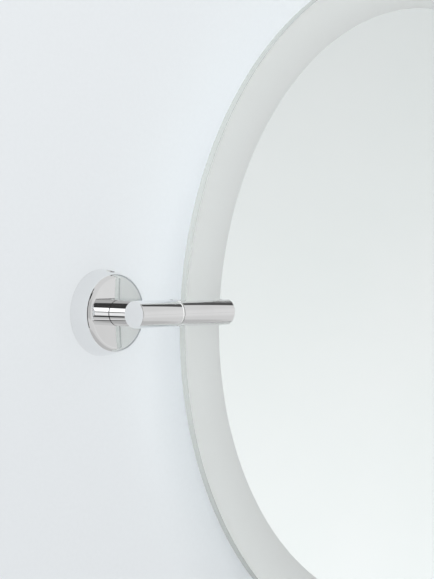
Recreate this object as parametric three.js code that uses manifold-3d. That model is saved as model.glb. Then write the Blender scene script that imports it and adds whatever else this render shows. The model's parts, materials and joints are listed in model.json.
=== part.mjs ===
// Round tilting wall mirror, held at its left and right edges by two pivot brackets.
//
// Millimetres. +X runs along the wall, +Y into the wall and +Z up. The origin is on the wall,
// midway between the brackets, at the height of the tilt axis. Each bracket is built around its
// own centre on the wall, with `inward` as the direction in X towards the middle of the mirror.
// The tilting pieces are built upright around the tilt axis and then leaned as one group.

import * as THREE from 'three';
import { mergeVertices } from 'three/addons/utils/BufferGeometryUtils.js';
import Module from 'manifold-3d';

// ---------------------------------------------------------------- driving dimensions

// Mirror
const mirrorRadius = 250;
const glassThickness = 5;
const frostedBorder = 33;
const edgeBevel = 0.6;
const silverThickness = 0.1;
const filmThickness = 0.15;
const mirrorDrop = 2.4; // the glass hangs this far under the tilt axis, so that it seats by its weight
const restLean = 2.1; // degrees, the top leans out from the wall

// Brackets
const bracketSpacing = 558;
const tiltAxisFromWall = 46;
const barRadius = 9;
const barChamfer = 0.6;
const outerOverhang = 16; // end of the bar beyond the post
const jointPlane = 21.4; // inner end of the fixed barrel, from the post's centre
const clampEnd = 70.5; // inner end of the clamp barrel, from the post's centre

// Flange and post
const flangeBaseRadius = 28.9;
const flangeSideSlope = 0.09; // how fast the side narrows where it leaves the wall
const flangeShoulder = { radius: 26.3, depth: 12.6 }; // where the side meets the rounded front edge
const flangeFaceRadius = 22.6; // flat part of the front
const flangeDepth = 15.3;
const flangeBoreRadius = 22.5;
const flangeFrontThickness = 3;
const postRadius = 8.5;

// Wall plate and its fixings
const plateRimRadius = 22.2;
const plateRimThickness = 3.2;
const plateHeight = 12.2;
const plateFloor = 2.2;
const grooveDepth = 1.1;
const flangeScrewHeight = 8.4; // from the wall to the flange's grub screw and the plate's groove
const flangeScrewRadius = 2.5;
const fixingSpacing = 25; // between the upper and the lower wall screw
const fixingHoleRadius = 2.4;
const wallScrewRadius = 1.9;
const wallScrewHead = { radius: 4, height: 2.4 };
const wallScrewDepth = 32; // beyond the wall's face
const wallPlug = { radius: 3.2, bore: 2.25, length: 30, ridges: 4 };

// Post bolt
const boltRadius = 3;
const boltHead = { radius: 5, height: 4 };
const boltWasher = { radius: 6.5, thickness: 1.2 };
const boltEngagement = 7; // thread length inside the fixed barrel

// Pivot
const pivotBoreRadius = 6.4;
const pivotBoreStart = 7; // from the post's centre, where the blind bore ends
const shaftRadius = 4.5;
const shaftGroove = { centre: 17.5, width: 3.2, radius: 3.4 };
const shaftSpigotRadius = 2.9;
const jointWasher = { radius: 8.75, thickness: 1 };
const barrelScrewRadius = 1.9;
const conePoint = 0.3; // radius at the tip of the screws that sit in a groove

// Clamp
const clampWeb = 5; // solid length between the joint and the slot
const padThickness = 0.8;
const pressurePlateThickness = 1;
const clampScrewRadius = 1.9;
const clampScrewPoint = 1.3; // radius of the flat end that bears on the pressure plate
const clampScrewInset = 10.5; // from each end of the slot

// Gaps
const faceGap = 0.15; // between flat faces that meet
const roundGap = 0.25; // between a shaft or screw and its hole
const cutGap = 0.3; // between a piece and the neighbour whose shape it is cut to

// Facets around a full turn
const facets = { glass: 128, flange: 60, bar: 48, shaft: 24, screw: 12 };
const edgeSteps = 4; // along the rounded front edge of the flange
const sideSteps = 5; // down its side

// ---------------------------------------------------------------- values worked out from these

const jointGap = jointWasher.thickness + 2 * faceGap;
const clampStart = jointPlane + jointGap;
const slotStart = clampStart + clampWeb;
const halfGlass = glassThickness / 2;
const silverBack = halfGlass + faceGap + silverThickness;
const filmBack = silverBack + faceGap + filmThickness;
const frontPadFace = -(halfGlass + faceGap);
const rearPadFace = filmBack + faceGap;
const pressurePlateFace = rearPadFace + padThickness + faceGap;
const slotFront = frontPadFace - padThickness - faceGap;
const slotRear = pressurePlateFace + pressurePlateThickness + faceGap;
const flangeInside = -(flangeDepth - flangeFrontThickness);
const postBack = -flangeDepth - faceGap;

// ---------------------------------------------------------------- geometry helpers

const wasm = await Module();
wasm.setup();

function signedVolume(position, index) {
  const a = new THREE.Vector3();
  const b = new THREE.Vector3();
  const c = new THREE.Vector3();
  let volume = 0;
  for (let i = 0; i < index.length; i += 3) {
    a.fromBufferAttribute(position, index[i]);
    b.fromBufferAttribute(position, index[i + 1]);
    c.fromBufferAttribute(position, index[i + 2]);
    volume += a.dot(b.cross(c)) / 6;
  }
  return volume;
}

// Merges shared vertices, drops triangles without area and turns the faces outwards.
function closedGeometry(geometry) {
  const bare = geometry.clone();
  bare.deleteAttribute('normal');
  bare.deleteAttribute('uv');
  const merged = mergeVertices(bare);
  const source = merged.index.array;
  const index = [];
  for (let i = 0; i < source.length; i += 3) {
    const [a, b, c] = [source[i], source[i + 1], source[i + 2]];
    if (a !== b && b !== c && c !== a) {
      index.push(a, b, c);
    }
  }
  if (signedVolume(merged.attributes.position, index) < 0) {
    index.reverse();
  }
  merged.setIndex(index);
  merged.computeVertexNormals();
  return merged;
}

function toSolid(geometry) {
  const closed = closedGeometry(geometry);
  const vertProperties = new Float32Array(closed.attributes.position.array);
  const triVerts = new Uint32Array(closed.index.array);
  return new wasm.Manifold(new wasm.Mesh({ numProp: 3, vertProperties, triVerts }));
}

function cut(geometry, cutters) {
  let solid = toSolid(geometry);
  for (const cutter of cutters) {
    solid = solid.subtract(toSolid(cutter));
  }
  const mesh = solid.getMesh();
  const result = new THREE.BufferGeometry();
  result.setAttribute('position', new THREE.BufferAttribute(mesh.vertProperties, 3));
  result.setIndex(new THREE.BufferAttribute(mesh.triVerts, 1));
  result.computeVertexNormals();
  return result;
}

// A turned solid. Each profile point is [radius, distance along the axis].
function turned(profile, count, axis = 'y') {
  const points = profile.map(([radius, along]) => new THREE.Vector2(radius, along));
  const geometry = new THREE.LatheGeometry(points, count);
  if (axis === 'x') {
    geometry.rotateZ(-Math.PI / 2);
  }
  if (axis === 'z') {
    geometry.rotateX(Math.PI / 2);
  }
  return closedGeometry(geometry);
}

// A rod from one place to another along its axis.
function rod(radius, from, to, count, axis = 'y') {
  return turned([[0, from], [radius, from], [radius, to], [0, to]], count, axis);
}

// A tube: the profile runs round the wall and closes on its first point.
function tube(inner, outer, from, to, count, axis = 'y') {
  return turned([[inner, from], [outer, from], [outer, to], [inner, to], [inner, from]], count, axis);
}

function box(from, to) {
  const size = to.map((value, i) => value - from[i]);
  const geometry = new THREE.BoxGeometry(...size);
  geometry.translate(...from.map((value, i) => value + size[i] / 2));
  return geometry;
}

// A hexagonal prism along Y, for sockets.
function hexagon(acrossFlats, from, to) {
  const radius = acrossFlats / Math.sqrt(3);
  return rod(radius, from, to, 6);
}

// A grub screw along Y: its open end with the hexagon socket is at 0 and its point at -length.
function grubScrew(radius, length, pointRadius) {
  const cone = radius - pointRadius;
  const body = turned(
    [[0, -length], [pointRadius, -length], [radius, -length + cone], [radius, 0], [0, 0]],
    facets.screw,
  );
  return cut(body, [hexagon(radius, -length * 0.45, 1)]);
}

// ---------------------------------------------------------------- materials

function metal(color, roughness) {
  return new THREE.MeshStandardMaterial({ color, roughness, metalness: 1, flatShading: true });
}

function plain(color, roughness) {
  return new THREE.MeshStandardMaterial({ color, roughness, metalness: 0, flatShading: true });
}

function clearGlass() {
  const material = plain(0xdce8e4, 0.05);
  material.transparent = true;
  material.opacity = 0.5;
  return material;
}

const materials = {
  chrome: metal(0xdfe2e4, 0.05),
  steel: metal(0xb4b6b8, 0.35),
  darkSteel: metal(0x4a4c4f, 0.4),
  nylon: plain(0xf1f2ef, 0.45),
  plugNylon: plain(0x9aa0a3, 0.6),
  liner: plain(0xd5dad9, 0.5),
  glass: clearGlass(),
  silver: metal(0xf2f4f4, 0.02),
  film: plain(0xaeb4b6, 0.5),
};

function part(name, geometry, material) {
  const mesh = new THREE.Mesh(geometry, material);
  mesh.name = name;
  return mesh;
}

// ---------------------------------------------------------------- pieces on the wall

// Cup that is screwed to the wall. The flange slips over its rim and locks in the V groove.
function wallPlate(name) {
  const inner = plateRimRadius - plateRimThickness;
  const profile = [
    [0, 0],
    [plateRimRadius, 0],
    [plateRimRadius, -flangeScrewHeight + grooveDepth * 1.4],
    [plateRimRadius - grooveDepth, -flangeScrewHeight],
    [plateRimRadius, -flangeScrewHeight - grooveDepth * 1.4],
    [plateRimRadius, -plateHeight],
    [inner, -plateHeight],
    [inner, -plateFloor],
    [0, -plateFloor],
  ];
  const holes = [1, -1].map((up) => {
    const hole = rod(fixingHoleRadius, -plateFloor - 1, 1, facets.screw);
    return hole.translate(0, 0, up * fixingSpacing / 2);
  });
  return part(name, cut(turned(profile, facets.flange), holes), materials.steel);
}

// Pan head screw with a crossed recess and a pointed shank.
function wallScrew(name, up) {
  const under = -plateFloor - faceGap;
  const top = under - wallScrewHead.height;
  const profile = [
    [0, top],
    [wallScrewHead.radius * 0.55, top],
    [wallScrewHead.radius * 0.9, top + wallScrewHead.height * 0.4],
    [wallScrewHead.radius, under],
    [wallScrewRadius, under],
    [wallScrewRadius, wallScrewDepth - 4],
    [0, wallScrewDepth],
  ];
  const arm = wallScrewHead.radius * 0.5;
  const slot = 0.45;
  const depth = top + wallScrewHead.height * 0.6;
  const recess = [
    box([-arm, top - 1, -slot], [arm, depth, slot]),
    box([-slot, top - 1, -arm], [slot, depth, arm]),
  ];
  const mesh = part(name, cut(turned(profile, facets.screw), recess), materials.steel);
  mesh.position.z = up * fixingSpacing / 2;
  return mesh;
}

// Ridged nylon sleeve in the wall behind each screw.
function plugInWall(name, up) {
  const start = cutGap;
  const step = wallPlug.length / wallPlug.ridges;
  const valley = wallPlug.radius - 0.5;
  const profile = [[wallPlug.bore, start]];
  for (let i = 0; i < wallPlug.ridges; i += 1) {
    profile.push([wallPlug.radius, start + i * step]);
    profile.push([valley, start + (i + 0.9) * step]);
  }
  profile.push([valley, start + wallPlug.length]);
  profile.push([wallPlug.bore, start + wallPlug.length]);
  profile.push([wallPlug.bore, start]);
  const mesh = part(name, turned(profile, facets.screw), materials.plugNylon);
  mesh.position.z = up * fixingSpacing / 2;
  return mesh;
}

// The flange's side narrows away from the wall, slowly at first.
function flangeSideRadius(depth) {
  const straight = flangeBaseRadius - flangeSideSlope * flangeShoulder.depth;
  const share = depth / flangeShoulder.depth;
  return flangeBaseRadius - flangeSideSlope * depth - (straight - flangeShoulder.radius) * share ** 2;
}

// From the flat face, round its edge and down the side to the wall.
function flangeOutside() {
  const reach = flangeShoulder.radius - flangeFaceRadius;
  const drop = flangeDepth - flangeShoulder.depth;
  const turn = 2 * Math.atan2(drop, reach);
  const rounding = reach / Math.sin(turn);
  const points = [];
  for (let i = 0; i <= edgeSteps; i += 1) {
    const angle = turn * i / edgeSteps;
    const radius = flangeFaceRadius + rounding * Math.sin(angle);
    points.push([radius, -flangeDepth + rounding * (1 - Math.cos(angle))]);
  }
  for (let i = sideSteps - 1; i >= 0; i -= 1) {
    const depth = flangeShoulder.depth * i / sideSteps;
    points.push([flangeSideRadius(depth), -depth]);
  }
  return points;
}

// Bell-shaped cover with a flat polished face. It is bored from the back to fit over the wall plate.
function flange(name) {
  const profile = [
    [0, -flangeDepth],
    ...flangeOutside(),
    [flangeBoreRadius, 0],
    [flangeBoreRadius, flangeInside],
    [0, flangeInside],
  ];
  const boltHole = rod(boltRadius + roundGap, -flangeDepth - 1, flangeInside + 1, facets.shaft);
  const screwHole = rod(flangeScrewRadius + roundGap, flangeBoreRadius - 2, flangeBaseRadius + 2,
    facets.screw, 'z');
  screwHole.translate(0, -flangeScrewHeight, 0);
  return part(name, cut(turned(profile, facets.flange), [boltHole, screwHole]), materials.chrome);
}

// Its point sits in the groove of the wall plate, and its open end is sunk in the flange's side.
function flangeGrubScrew(name) {
  const tip = plateRimRadius - grooveDepth + cutGap;
  const sink = 1.2;
  const openEnd = flangeSideRadius(flangeScrewHeight) - sink;
  const mesh = part(name, grubScrew(flangeScrewRadius, openEnd - tip, conePoint), materials.darkSteel);
  mesh.rotation.x = Math.PI / 2;
  mesh.position.set(0, -flangeScrewHeight, openEnd);
  return mesh;
}

// Round post with a saddle end that fits the bar, drilled for the bolt.
function post(name) {
  const body = rod(postRadius, -tiltAxisFromWall + 1, postBack, facets.bar);
  const bar = rod(barRadius + cutGap, -2 * postRadius, 2 * postRadius, facets.bar, 'x');
  bar.translate(0, -tiltAxisFromWall, 0);
  const boltHole = rod(boltRadius + roundGap, -tiltAxisFromWall, 1, facets.shaft);
  return part(name, cut(body, [bar, boltHole]), materials.chrome);
}

// Cap head bolt from inside the flange, through the post, into the fixed barrel.
function postBolt(name) {
  const under = flangeInside + boltWasher.thickness + 2 * faceGap;
  const top = under + boltHead.height;
  const tip = -tiltAxisFromWall + barRadius - boltEngagement;
  const profile = [
    [0, tip],
    [boltRadius - 0.5, tip],
    [boltRadius, tip + 0.5],
    [boltRadius, under],
    [boltHead.radius, under],
    [boltHead.radius, top],
    [0, top],
  ];
  const socket = hexagon(5, top - boltHead.height * 0.6, top + 1);
  return part(name, cut(turned(profile, facets.shaft), [socket]), materials.darkSteel);
}

function postBoltWasher(name) {
  const from = flangeInside + faceGap;
  const geometry = tube(boltRadius + roundGap, boltWasher.radius, from, from + boltWasher.thickness,
    facets.shaft);
  return part(name, geometry, materials.steel);
}

// Outer length of the bar. A blind bore from the joint takes the pivot.
function fixedBarrel(name, inward) {
  const outer = -outerOverhang;
  const profile = [
    [0, outer],
    [barRadius - barChamfer, outer],
    [barRadius, outer + barChamfer],
    [barRadius, jointPlane - barChamfer],
    [barRadius - barChamfer, jointPlane],
    [pivotBoreRadius, jointPlane],
    [pivotBoreRadius, pivotBoreStart],
    [0, pivotBoreStart],
  ];
  const body = turned(profile.map(([r, x]) => [r, inward * x]), facets.bar, 'x');
  const boltHole = rod(boltRadius + roundGap, barRadius - boltEngagement - 1, barRadius + 1, facets.shaft);
  const screwHole = rod(barrelScrewRadius + roundGap, 0, barRadius + 1, facets.screw, 'z');
  screwHole.translate(inward * shaftGroove.centre, 0, 0);
  const mesh = part(name, cut(body, [boltHole, screwHole]), materials.chrome);
  mesh.position.y = -tiltAxisFromWall;
  return mesh;
}

// Its point runs in the shaft's groove: it keeps the shaft in and sets how firmly the mirror turns.
function barrelGrubScrew(name, inward) {
  const openEnd = barRadius - 0.7;
  const length = openEnd - shaftGroove.radius - cutGap;
  const mesh = part(name, grubScrew(barrelScrewRadius, length, conePoint), materials.darkSteel);
  mesh.rotation.x = Math.PI / 2;
  mesh.position.set(inward * shaftGroove.centre, -tiltAxisFromWall, openEnd);
  return mesh;
}

// Nylon sleeve that the shaft turns in.
function pivotBush(name, inward) {
  const from = pivotBoreStart + faceGap;
  const to = jointPlane - faceGap;
  const sleeve = tube(shaftRadius + roundGap, pivotBoreRadius - roundGap, inward * from, inward * to,
    facets.shaft, 'x');
  const screwHole = rod(barrelScrewRadius + roundGap, 0, pivotBoreRadius + 1, facets.screw, 'z');
  screwHole.translate(inward * shaftGroove.centre, 0, 0);
  const mesh = part(name, cut(sleeve, [screwHole]), materials.nylon);
  mesh.position.y = -tiltAxisFromWall;
  return mesh;
}

// Light ring that shows between the two lengths of the bar.
function pivotWasher(name, inward) {
  const from = jointPlane + faceGap;
  const geometry = tube(shaftRadius + roundGap, jointWasher.radius, inward * from,
    inward * (from + jointWasher.thickness), facets.bar, 'x');
  const mesh = part(name, geometry, materials.nylon);
  mesh.position.y = -tiltAxisFromWall;
  return mesh;
}

// ---------------------------------------------------------------- pieces that tilt

// Grooved shaft. Its spigot is screwed into the web of the clamp barrel.
function pivotShaft(name, inward) {
  const halfGroove = shaftGroove.width / 2;
  const profile = [
    [0, pivotBoreStart + 2 * faceGap],
    [shaftRadius - 0.5, pivotBoreStart + 2 * faceGap],
    [shaftRadius, pivotBoreStart + 2 * faceGap + 0.5],
    [shaftRadius, shaftGroove.centre - halfGroove],
    [shaftGroove.radius, shaftGroove.centre - halfGroove + 0.6],
    [shaftGroove.radius, shaftGroove.centre + halfGroove - 0.6],
    [shaftRadius, shaftGroove.centre + halfGroove],
    [shaftRadius, clampStart - faceGap],
    [shaftSpigotRadius, clampStart - faceGap],
    [shaftSpigotRadius, slotStart - faceGap],
    [0, slotStart - faceGap],
  ];
  return part(name, turned(profile.map(([r, x]) => [r, inward * x]), facets.shaft, 'x'), materials.steel);
}

function clampScrewPlaces() {
  return [slotStart + clampScrewInset, clampEnd - clampScrewInset];
}

// Inner length of the bar: two jaws with the glass between them.
function clampBarrel(name, inward) {
  const profile = [
    [0, clampStart],
    [barRadius - barChamfer, clampStart],
    [barRadius, clampStart + barChamfer],
    [barRadius, clampEnd - barChamfer],
    [barRadius - barChamfer, clampEnd],
    [0, clampEnd],
  ];
  const body = turned(profile.map(([r, x]) => [r, inward * x]), facets.bar, 'x');
  const slotEnds = [inward * slotStart, inward * (clampEnd + 1)];
  const slot = box(
    [Math.min(...slotEnds), slotFront, -barRadius - 1],
    [Math.max(...slotEnds), slotRear, barRadius + 1],
  );
  const spigotHole = rod(shaftSpigotRadius + roundGap, inward * (clampStart - 1), inward * (slotStart + 1),
    facets.shaft, 'x');
  const screwHoles = clampScrewPlaces().map((place) => {
    const hole = rod(clampScrewRadius + roundGap, slotRear - 1, barRadius + 1, facets.screw);
    return hole.translate(inward * place, 0, 0);
  });
  return part(name, cut(body, [slot, spigotHole, ...screwHoles]), materials.chrome);
}

// Strip inside the slot, narrower than the jaw that it lies on.
function slotStrip(name, inward, from, thickness, material) {
  const reach = Math.max(Math.abs(from), Math.abs(from + thickness));
  const halfWidth = Math.sqrt(barRadius ** 2 - reach ** 2) - 0.4;
  const ends = [inward * (slotStart + 2 * faceGap), inward * (clampEnd - 2 * faceGap)];
  const geometry = box(
    [Math.min(...ends), from, -halfWidth],
    [Math.max(...ends), from + thickness, halfWidth],
  );
  return part(name, closedGeometry(geometry), material);
}

// Grub screw in the rear jaw, pressing on the pressure plate.
function clampScrew(name, inward, place) {
  const openEnd = barRadius - 0.5;
  const length = openEnd - slotRear;
  const mesh = part(name, grubScrew(clampScrewRadius, length, clampScrewPoint), materials.darkSteel);
  mesh.position.set(inward * place, openEnd, 0);
  return mesh;
}

// A disc whose faces are square to Y.
function disc(radius, from, thickness, bevel = 0) {
  const to = from + thickness;
  const profile = bevel > 0
    ? [[0, from], [radius - bevel, from], [radius, from + bevel], [radius, to - bevel],
      [radius - bevel, to], [0, to]]
    : [[0, from], [radius, from], [radius, to], [0, to]];
  return turned(profile, facets.glass);
}

function mirrorDisc() {
  const silverRadius = mirrorRadius - frostedBorder;
  const pieces = [
    part('glass_disc', disc(mirrorRadius, -halfGlass, glassThickness, edgeBevel), materials.glass),
    part('silver_layer', disc(silverRadius, halfGlass + faceGap, silverThickness), materials.silver),
    part('backing_film', disc(silverRadius, silverBack + faceGap, filmThickness), materials.film),
  ];
  const group = new THREE.Group();
  group.add(...pieces);
  group.position.z = -mirrorDrop;
  return group;
}

// ---------------------------------------------------------------- assembly

function bracketOnWall(side, inward) {
  const group = new THREE.Group();
  group.add(wallPlate(`${side}_wall_plate`));
  for (const [level, up] of [['upper', 1], ['lower', -1]]) {
    group.add(wallScrew(`${side}_${level}_wall_screw`, up));
    group.add(plugInWall(`${side}_${level}_wall_plug`, up));
  }
  group.add(
    flange(`${side}_flange`),
    flangeGrubScrew(`${side}_flange_grub_screw`),
    post(`${side}_post`),
    postBolt(`${side}_post_bolt`),
    postBoltWasher(`${side}_post_bolt_washer`),
    fixedBarrel(`${side}_fixed_barrel`, inward),
    barrelGrubScrew(`${side}_barrel_grub_screw`, inward),
    pivotBush(`${side}_pivot_bush`, inward),
    pivotWasher(`${side}_pivot_washer`, inward),
  );
  group.position.x = -inward * bracketSpacing / 2;
  return group;
}

function tiltingClamp(side, inward) {
  const [outerPlace, innerPlace] = clampScrewPlaces();
  const group = new THREE.Group();
  group.add(
    pivotShaft(`${side}_pivot_shaft`, inward),
    clampBarrel(`${side}_clamp_barrel`, inward),
    slotStrip(`${side}_front_pad`, inward, frontPadFace - padThickness, padThickness, materials.liner),
    slotStrip(`${side}_rear_pad`, inward, rearPadFace, padThickness, materials.liner),
    slotStrip(`${side}_pressure_plate`, inward, pressurePlateFace, pressurePlateThickness, materials.steel),
    clampScrew(`${side}_outer_clamp_screw`, inward, outerPlace),
    clampScrew(`${side}_inner_clamp_screw`, inward, innerPlace),
  );
  group.position.x = -inward * bracketSpacing / 2;
  return group;
}

function tiltingMirror() {
  const group = new THREE.Group();
  group.add(mirrorDisc(), tiltingClamp('left', 1), tiltingClamp('right', -1));
  group.position.y = -tiltAxisFromWall;
  group.rotation.x = THREE.MathUtils.degToRad(restLean);
  return group;
}

const wallMirror = new THREE.Group();
wallMirror.add(bracketOnWall('left', 1), bracketOnWall('right', -1), tiltingMirror());

export default wallMirror;
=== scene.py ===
"""Looks for the tilting wall mirror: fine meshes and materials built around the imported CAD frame.

Metres, +X along the wall, +Y into the wall, +Z up. Every piece is made at rest and rides on the body
of the CAD node that it stands for.
"""

import json
import math

import bmesh
import bpy
from mathutils import Matrix, Vector


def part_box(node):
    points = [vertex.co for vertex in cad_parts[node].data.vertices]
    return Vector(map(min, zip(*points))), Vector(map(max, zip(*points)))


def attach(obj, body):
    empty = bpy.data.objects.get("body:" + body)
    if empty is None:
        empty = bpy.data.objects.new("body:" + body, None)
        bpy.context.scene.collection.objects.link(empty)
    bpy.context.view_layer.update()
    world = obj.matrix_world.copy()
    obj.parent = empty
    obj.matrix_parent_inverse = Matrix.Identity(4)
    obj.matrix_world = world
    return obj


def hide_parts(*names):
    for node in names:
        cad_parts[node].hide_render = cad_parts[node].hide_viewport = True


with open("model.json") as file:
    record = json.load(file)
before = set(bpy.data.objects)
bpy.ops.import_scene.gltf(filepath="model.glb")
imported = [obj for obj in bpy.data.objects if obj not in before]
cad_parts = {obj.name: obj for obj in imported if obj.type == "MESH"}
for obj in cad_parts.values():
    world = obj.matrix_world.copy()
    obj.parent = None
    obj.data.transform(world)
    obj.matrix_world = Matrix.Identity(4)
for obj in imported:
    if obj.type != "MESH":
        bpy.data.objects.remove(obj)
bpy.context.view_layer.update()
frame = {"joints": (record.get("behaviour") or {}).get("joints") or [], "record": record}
BODIES = frame["record"]["behaviour"]["bodies"]

MM = 0.001
NOTHING = 1e-9  # metres; less than this counts as 0

# ------------------------------------------------------------------ dimensions

# From the frame
FLANGE_LOW, FLANGE_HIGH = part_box("left_flange")
BARREL_LOW, BARREL_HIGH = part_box("left_fixed_barrel")
GLASS_LOW, GLASS_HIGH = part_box("glass_disc")
SILVER_LOW, SILVER_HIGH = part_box("silver_layer")
PLATE_LOW, PLATE_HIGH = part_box("left_wall_plate")
TILT_AXIS = Vector(frame["joints"][0]["pos_m"])
BRACKET_X = -(FLANGE_LOW.x + FLANGE_HIGH.x) / 2
FLANGE_RADIUS = (FLANGE_HIGH.x - FLANGE_LOW.x) / 2
FLANGE_DEPTH = FLANGE_HIGH.y - FLANGE_LOW.y
BAR_RADIUS = (BARREL_HIGH.z - BARREL_LOW.z) / 2
BAR_OUTER_END = BARREL_LOW.x + BRACKET_X
JOINT_PLANE = BARREL_HIGH.x + BRACKET_X
MIRROR_RADIUS = (GLASS_HIGH.x - GLASS_LOW.x) / 2
SILVER_RADIUS = (SILVER_HIGH.x - SILVER_LOW.x) / 2
PLATE_RADIUS = (PLATE_HIGH.x - PLATE_LOW.x) / 2
PLATE_HEIGHT = PLATE_HIGH.y - PLATE_LOW.y
MIRROR_DROP = 2.4 * MM
REST_LEAN = math.radians(2.1)
GLASS_THICKNESS = 5 * MM

# Flange, post and wall plate
FLANGE_SIDE_SLOPE = 0.09
FLANGE_SHOULDER_RADIUS = 26.3 * MM
FLANGE_SHOULDER_DEPTH = 12.6 * MM
FLANGE_FACE_RADIUS = 22.6 * MM
FLANGE_BORE_RADIUS = 22.5 * MM
FLANGE_FRONT = 3 * MM
POST_RADIUS = 8.5 * MM
PLATE_WALL = 3.2 * MM
PLATE_FLOOR = 2.2 * MM
GROOVE = 1.1 * MM
FLANGE_SCREW_HEIGHT = 8.4 * MM
FLANGE_SCREW_RADIUS = 2.5 * MM
FIXING_SPACING = 25 * MM
FIXING_HOLE_RADIUS = 2.4 * MM

# Bar, pivot and clamp, measured along the bar from the post's centre
WASHER_START = JOINT_PLANE + 0.1 * MM
WASHER_END = WASHER_START + 1.1 * MM
CLAMP_START = WASHER_END + 0.1 * MM
CLAMP_END = 70.5 * MM
SLOT_START = 27.7 * MM
SLOT_FRONT = -3.6 * MM
SLOT_REAR = 5.3 * MM
BARREL_SCREW_PLACE = 17.5 * MM
SCREW_RADIUS = 1.9 * MM
CLAMP_SCREW_PLACES = (SLOT_START + 10.5 * MM, CLAMP_END - 10.5 * MM)
HOLE_CLEARANCE = 0.15 * MM
BOLT_RADIUS = 3 * MM
BOLT_HOLE_RADIUS = 3.2 * MM
BOLT_HEAD_GAP = 1.3 * MM  # between the flange's inside and the head, for the washer
BORE_RADIUS = 6.4 * MM
BORE_START = 7 * MM
BUSH_BORE_RADIUS = 4.7 * MM
SHAFT_RADIUS = 4.5 * MM
SPIGOT_RADIUS = 2.9 * MM
BAR_EDGE = 0.45 * MM  # rounding of the bar's edges at the joint and at its inner end
CONE_TIP_RADIUS = 0.3 * MM

# Layers behind the glass, and the strips in the slot
SILVER_THICKNESS = 0.1 * MM
FILM_THICKNESS = 0.15 * MM
COAT_GAP = 0.02 * MM
PAD_THICKNESS = 0.9 * MM
PRESSURE_THICKNESS = 1.1 * MM
REAR_PAD_GAP = 0.55 * MM  # from the glass, over the silvering's edge
TOUCH_GAP = 0.05 * MM  # between pieces that touch

FLAT_NORMAL = 0.9  # a face whose normal has this much of Y is a flat front or back face

SMOOTH_ANGLE = math.radians(35)  # sharper edges than this stay sharp
ROUND = 192  # sides around a visible turned piece
MEDIUM_ROUND = 96  # sides around the shaft and its bush
SMALL_ROUND = 48  # sides around a screw
DISC_ROUND = 720  # sides around the mirror

SIDES = (("left", 1), ("right", -1))


# ------------------------------------------------------------------ mesh helpers

def linked(name, data):
    """A new object in the scene."""
    made = bpy.data.objects.new(name, data)
    bpy.context.scene.collection.objects.link(made)
    return made


def smooth(mesh):
    mesh.shade_smooth()
    mesh.set_sharp_from_angle(angle=SMOOTH_ANGLE)
    return mesh


def new_object(name, mesh):
    return linked(name, smooth(mesh))


def mesh_from(bm, name):
    mesh = bpy.data.meshes.new(name)
    bm.to_mesh(mesh)
    bm.free()
    return mesh


def outward(bm):
    bmesh.ops.recalc_face_normals(bm, faces=bm.faces)


def arc_corner(before, corner, after, radius, steps=5):
    """The corner of a polyline, rounded to that radius."""
    to_before = (before - corner).normalized()
    to_after = (after - corner).normalized()
    half = to_before.angle(to_after) / 2
    reach = radius / math.tan(half)
    centre = corner + (to_before + to_after).normalized() * (radius / math.sin(half))
    start = corner + to_before * reach - centre
    end = corner + to_after * reach - centre
    turn = start.angle_signed(end)
    points = []
    for i in range(steps + 1):
        point = start.copy()
        point.rotate(Matrix.Rotation(-turn * i / steps, 2))
        points.append(centre + point)
    return points


def rounded(profile):
    """Profile points are (radius, along) or (radius, along, corner radius)."""
    flat = [Vector(point[:2]) for point in profile]
    result = []
    for i, point in enumerate(profile):
        if len(point) == 3 and 0 < i < len(profile) - 1:
            result += arc_corner(flat[i - 1], flat[i], flat[i + 1], point[2])
        else:
            result.append(flat[i])
    return result


def turned_mesh(name, profile, count, axis="y", waviness=None):
    """A solid of revolution. waviness(radius, along, turn) moves a point in or out, for threads."""
    points = rounded(profile)
    closed = (points[0] - points[-1]).length < NOTHING
    if closed:
        points = points[:-1]
    bm = bmesh.new()
    rings = []
    for radius, along in points:
        if radius < NOTHING:
            rings.append([bm.verts.new(on_axis(0, along, 0, axis))])
            continue
        ring = []
        for i in range(count):
            turn = i / count
            r = waviness(radius, along, turn) if waviness else radius
            ring.append(bm.verts.new(on_axis(r, along, turn, axis)))
        rings.append(ring)
    pairs = list(zip(rings, rings[1:]))
    if closed:
        pairs.append((rings[-1], rings[0]))
    for low, high in pairs:
        join_rings(bm, low, high)
    outward(bm)
    return mesh_from(bm, name)


def on_axis(radius, along, turn, axis):
    across = radius * math.cos(turn * math.tau)
    up = radius * math.sin(turn * math.tau)
    if axis == "x":
        return (along, across, up)
    if axis == "y":
        return (across, along, up)
    return (across, up, along)


def join_rings(bm, low, high):
    count = max(len(low), len(high))
    for i in range(count):
        k = (i + 1) % count
        if len(low) == 1:
            bm.faces.new((low[0], high[i], high[k]))
        elif len(high) == 1:
            bm.faces.new((low[i], high[0], low[k]))
        else:
            bm.faces.new((low[i], high[i], high[k], low[k]))


def turned(name, profile, count=ROUND, axis="y", waviness=None):
    return new_object(name, turned_mesh(name, profile, count, axis, waviness))


def rod(name, radius, start, end, count=SMALL_ROUND, axis="y"):
    return turned(name, [(0, start), (radius, start), (radius, end), (0, end)], count, axis)


def block(name, low, high):
    bm = bmesh.new()
    bmesh.ops.create_cube(bm, size=1)
    size = Vector(high) - Vector(low)
    centre = (Vector(high) + Vector(low)) / 2
    bmesh.ops.scale(bm, vec=size, verts=bm.verts)
    bmesh.ops.translate(bm, vec=centre, verts=bm.verts)
    return new_object(name, mesh_from(bm, name))


def soften(piece, width, segments=3, degrees=40):
    bevel = piece.modifiers.new("soft_edges", "BEVEL")
    bevel.width = width
    bevel.segments = segments
    bevel.limit_method = "ANGLE"
    bevel.angle_limit = math.radians(degrees)
    return piece


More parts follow.
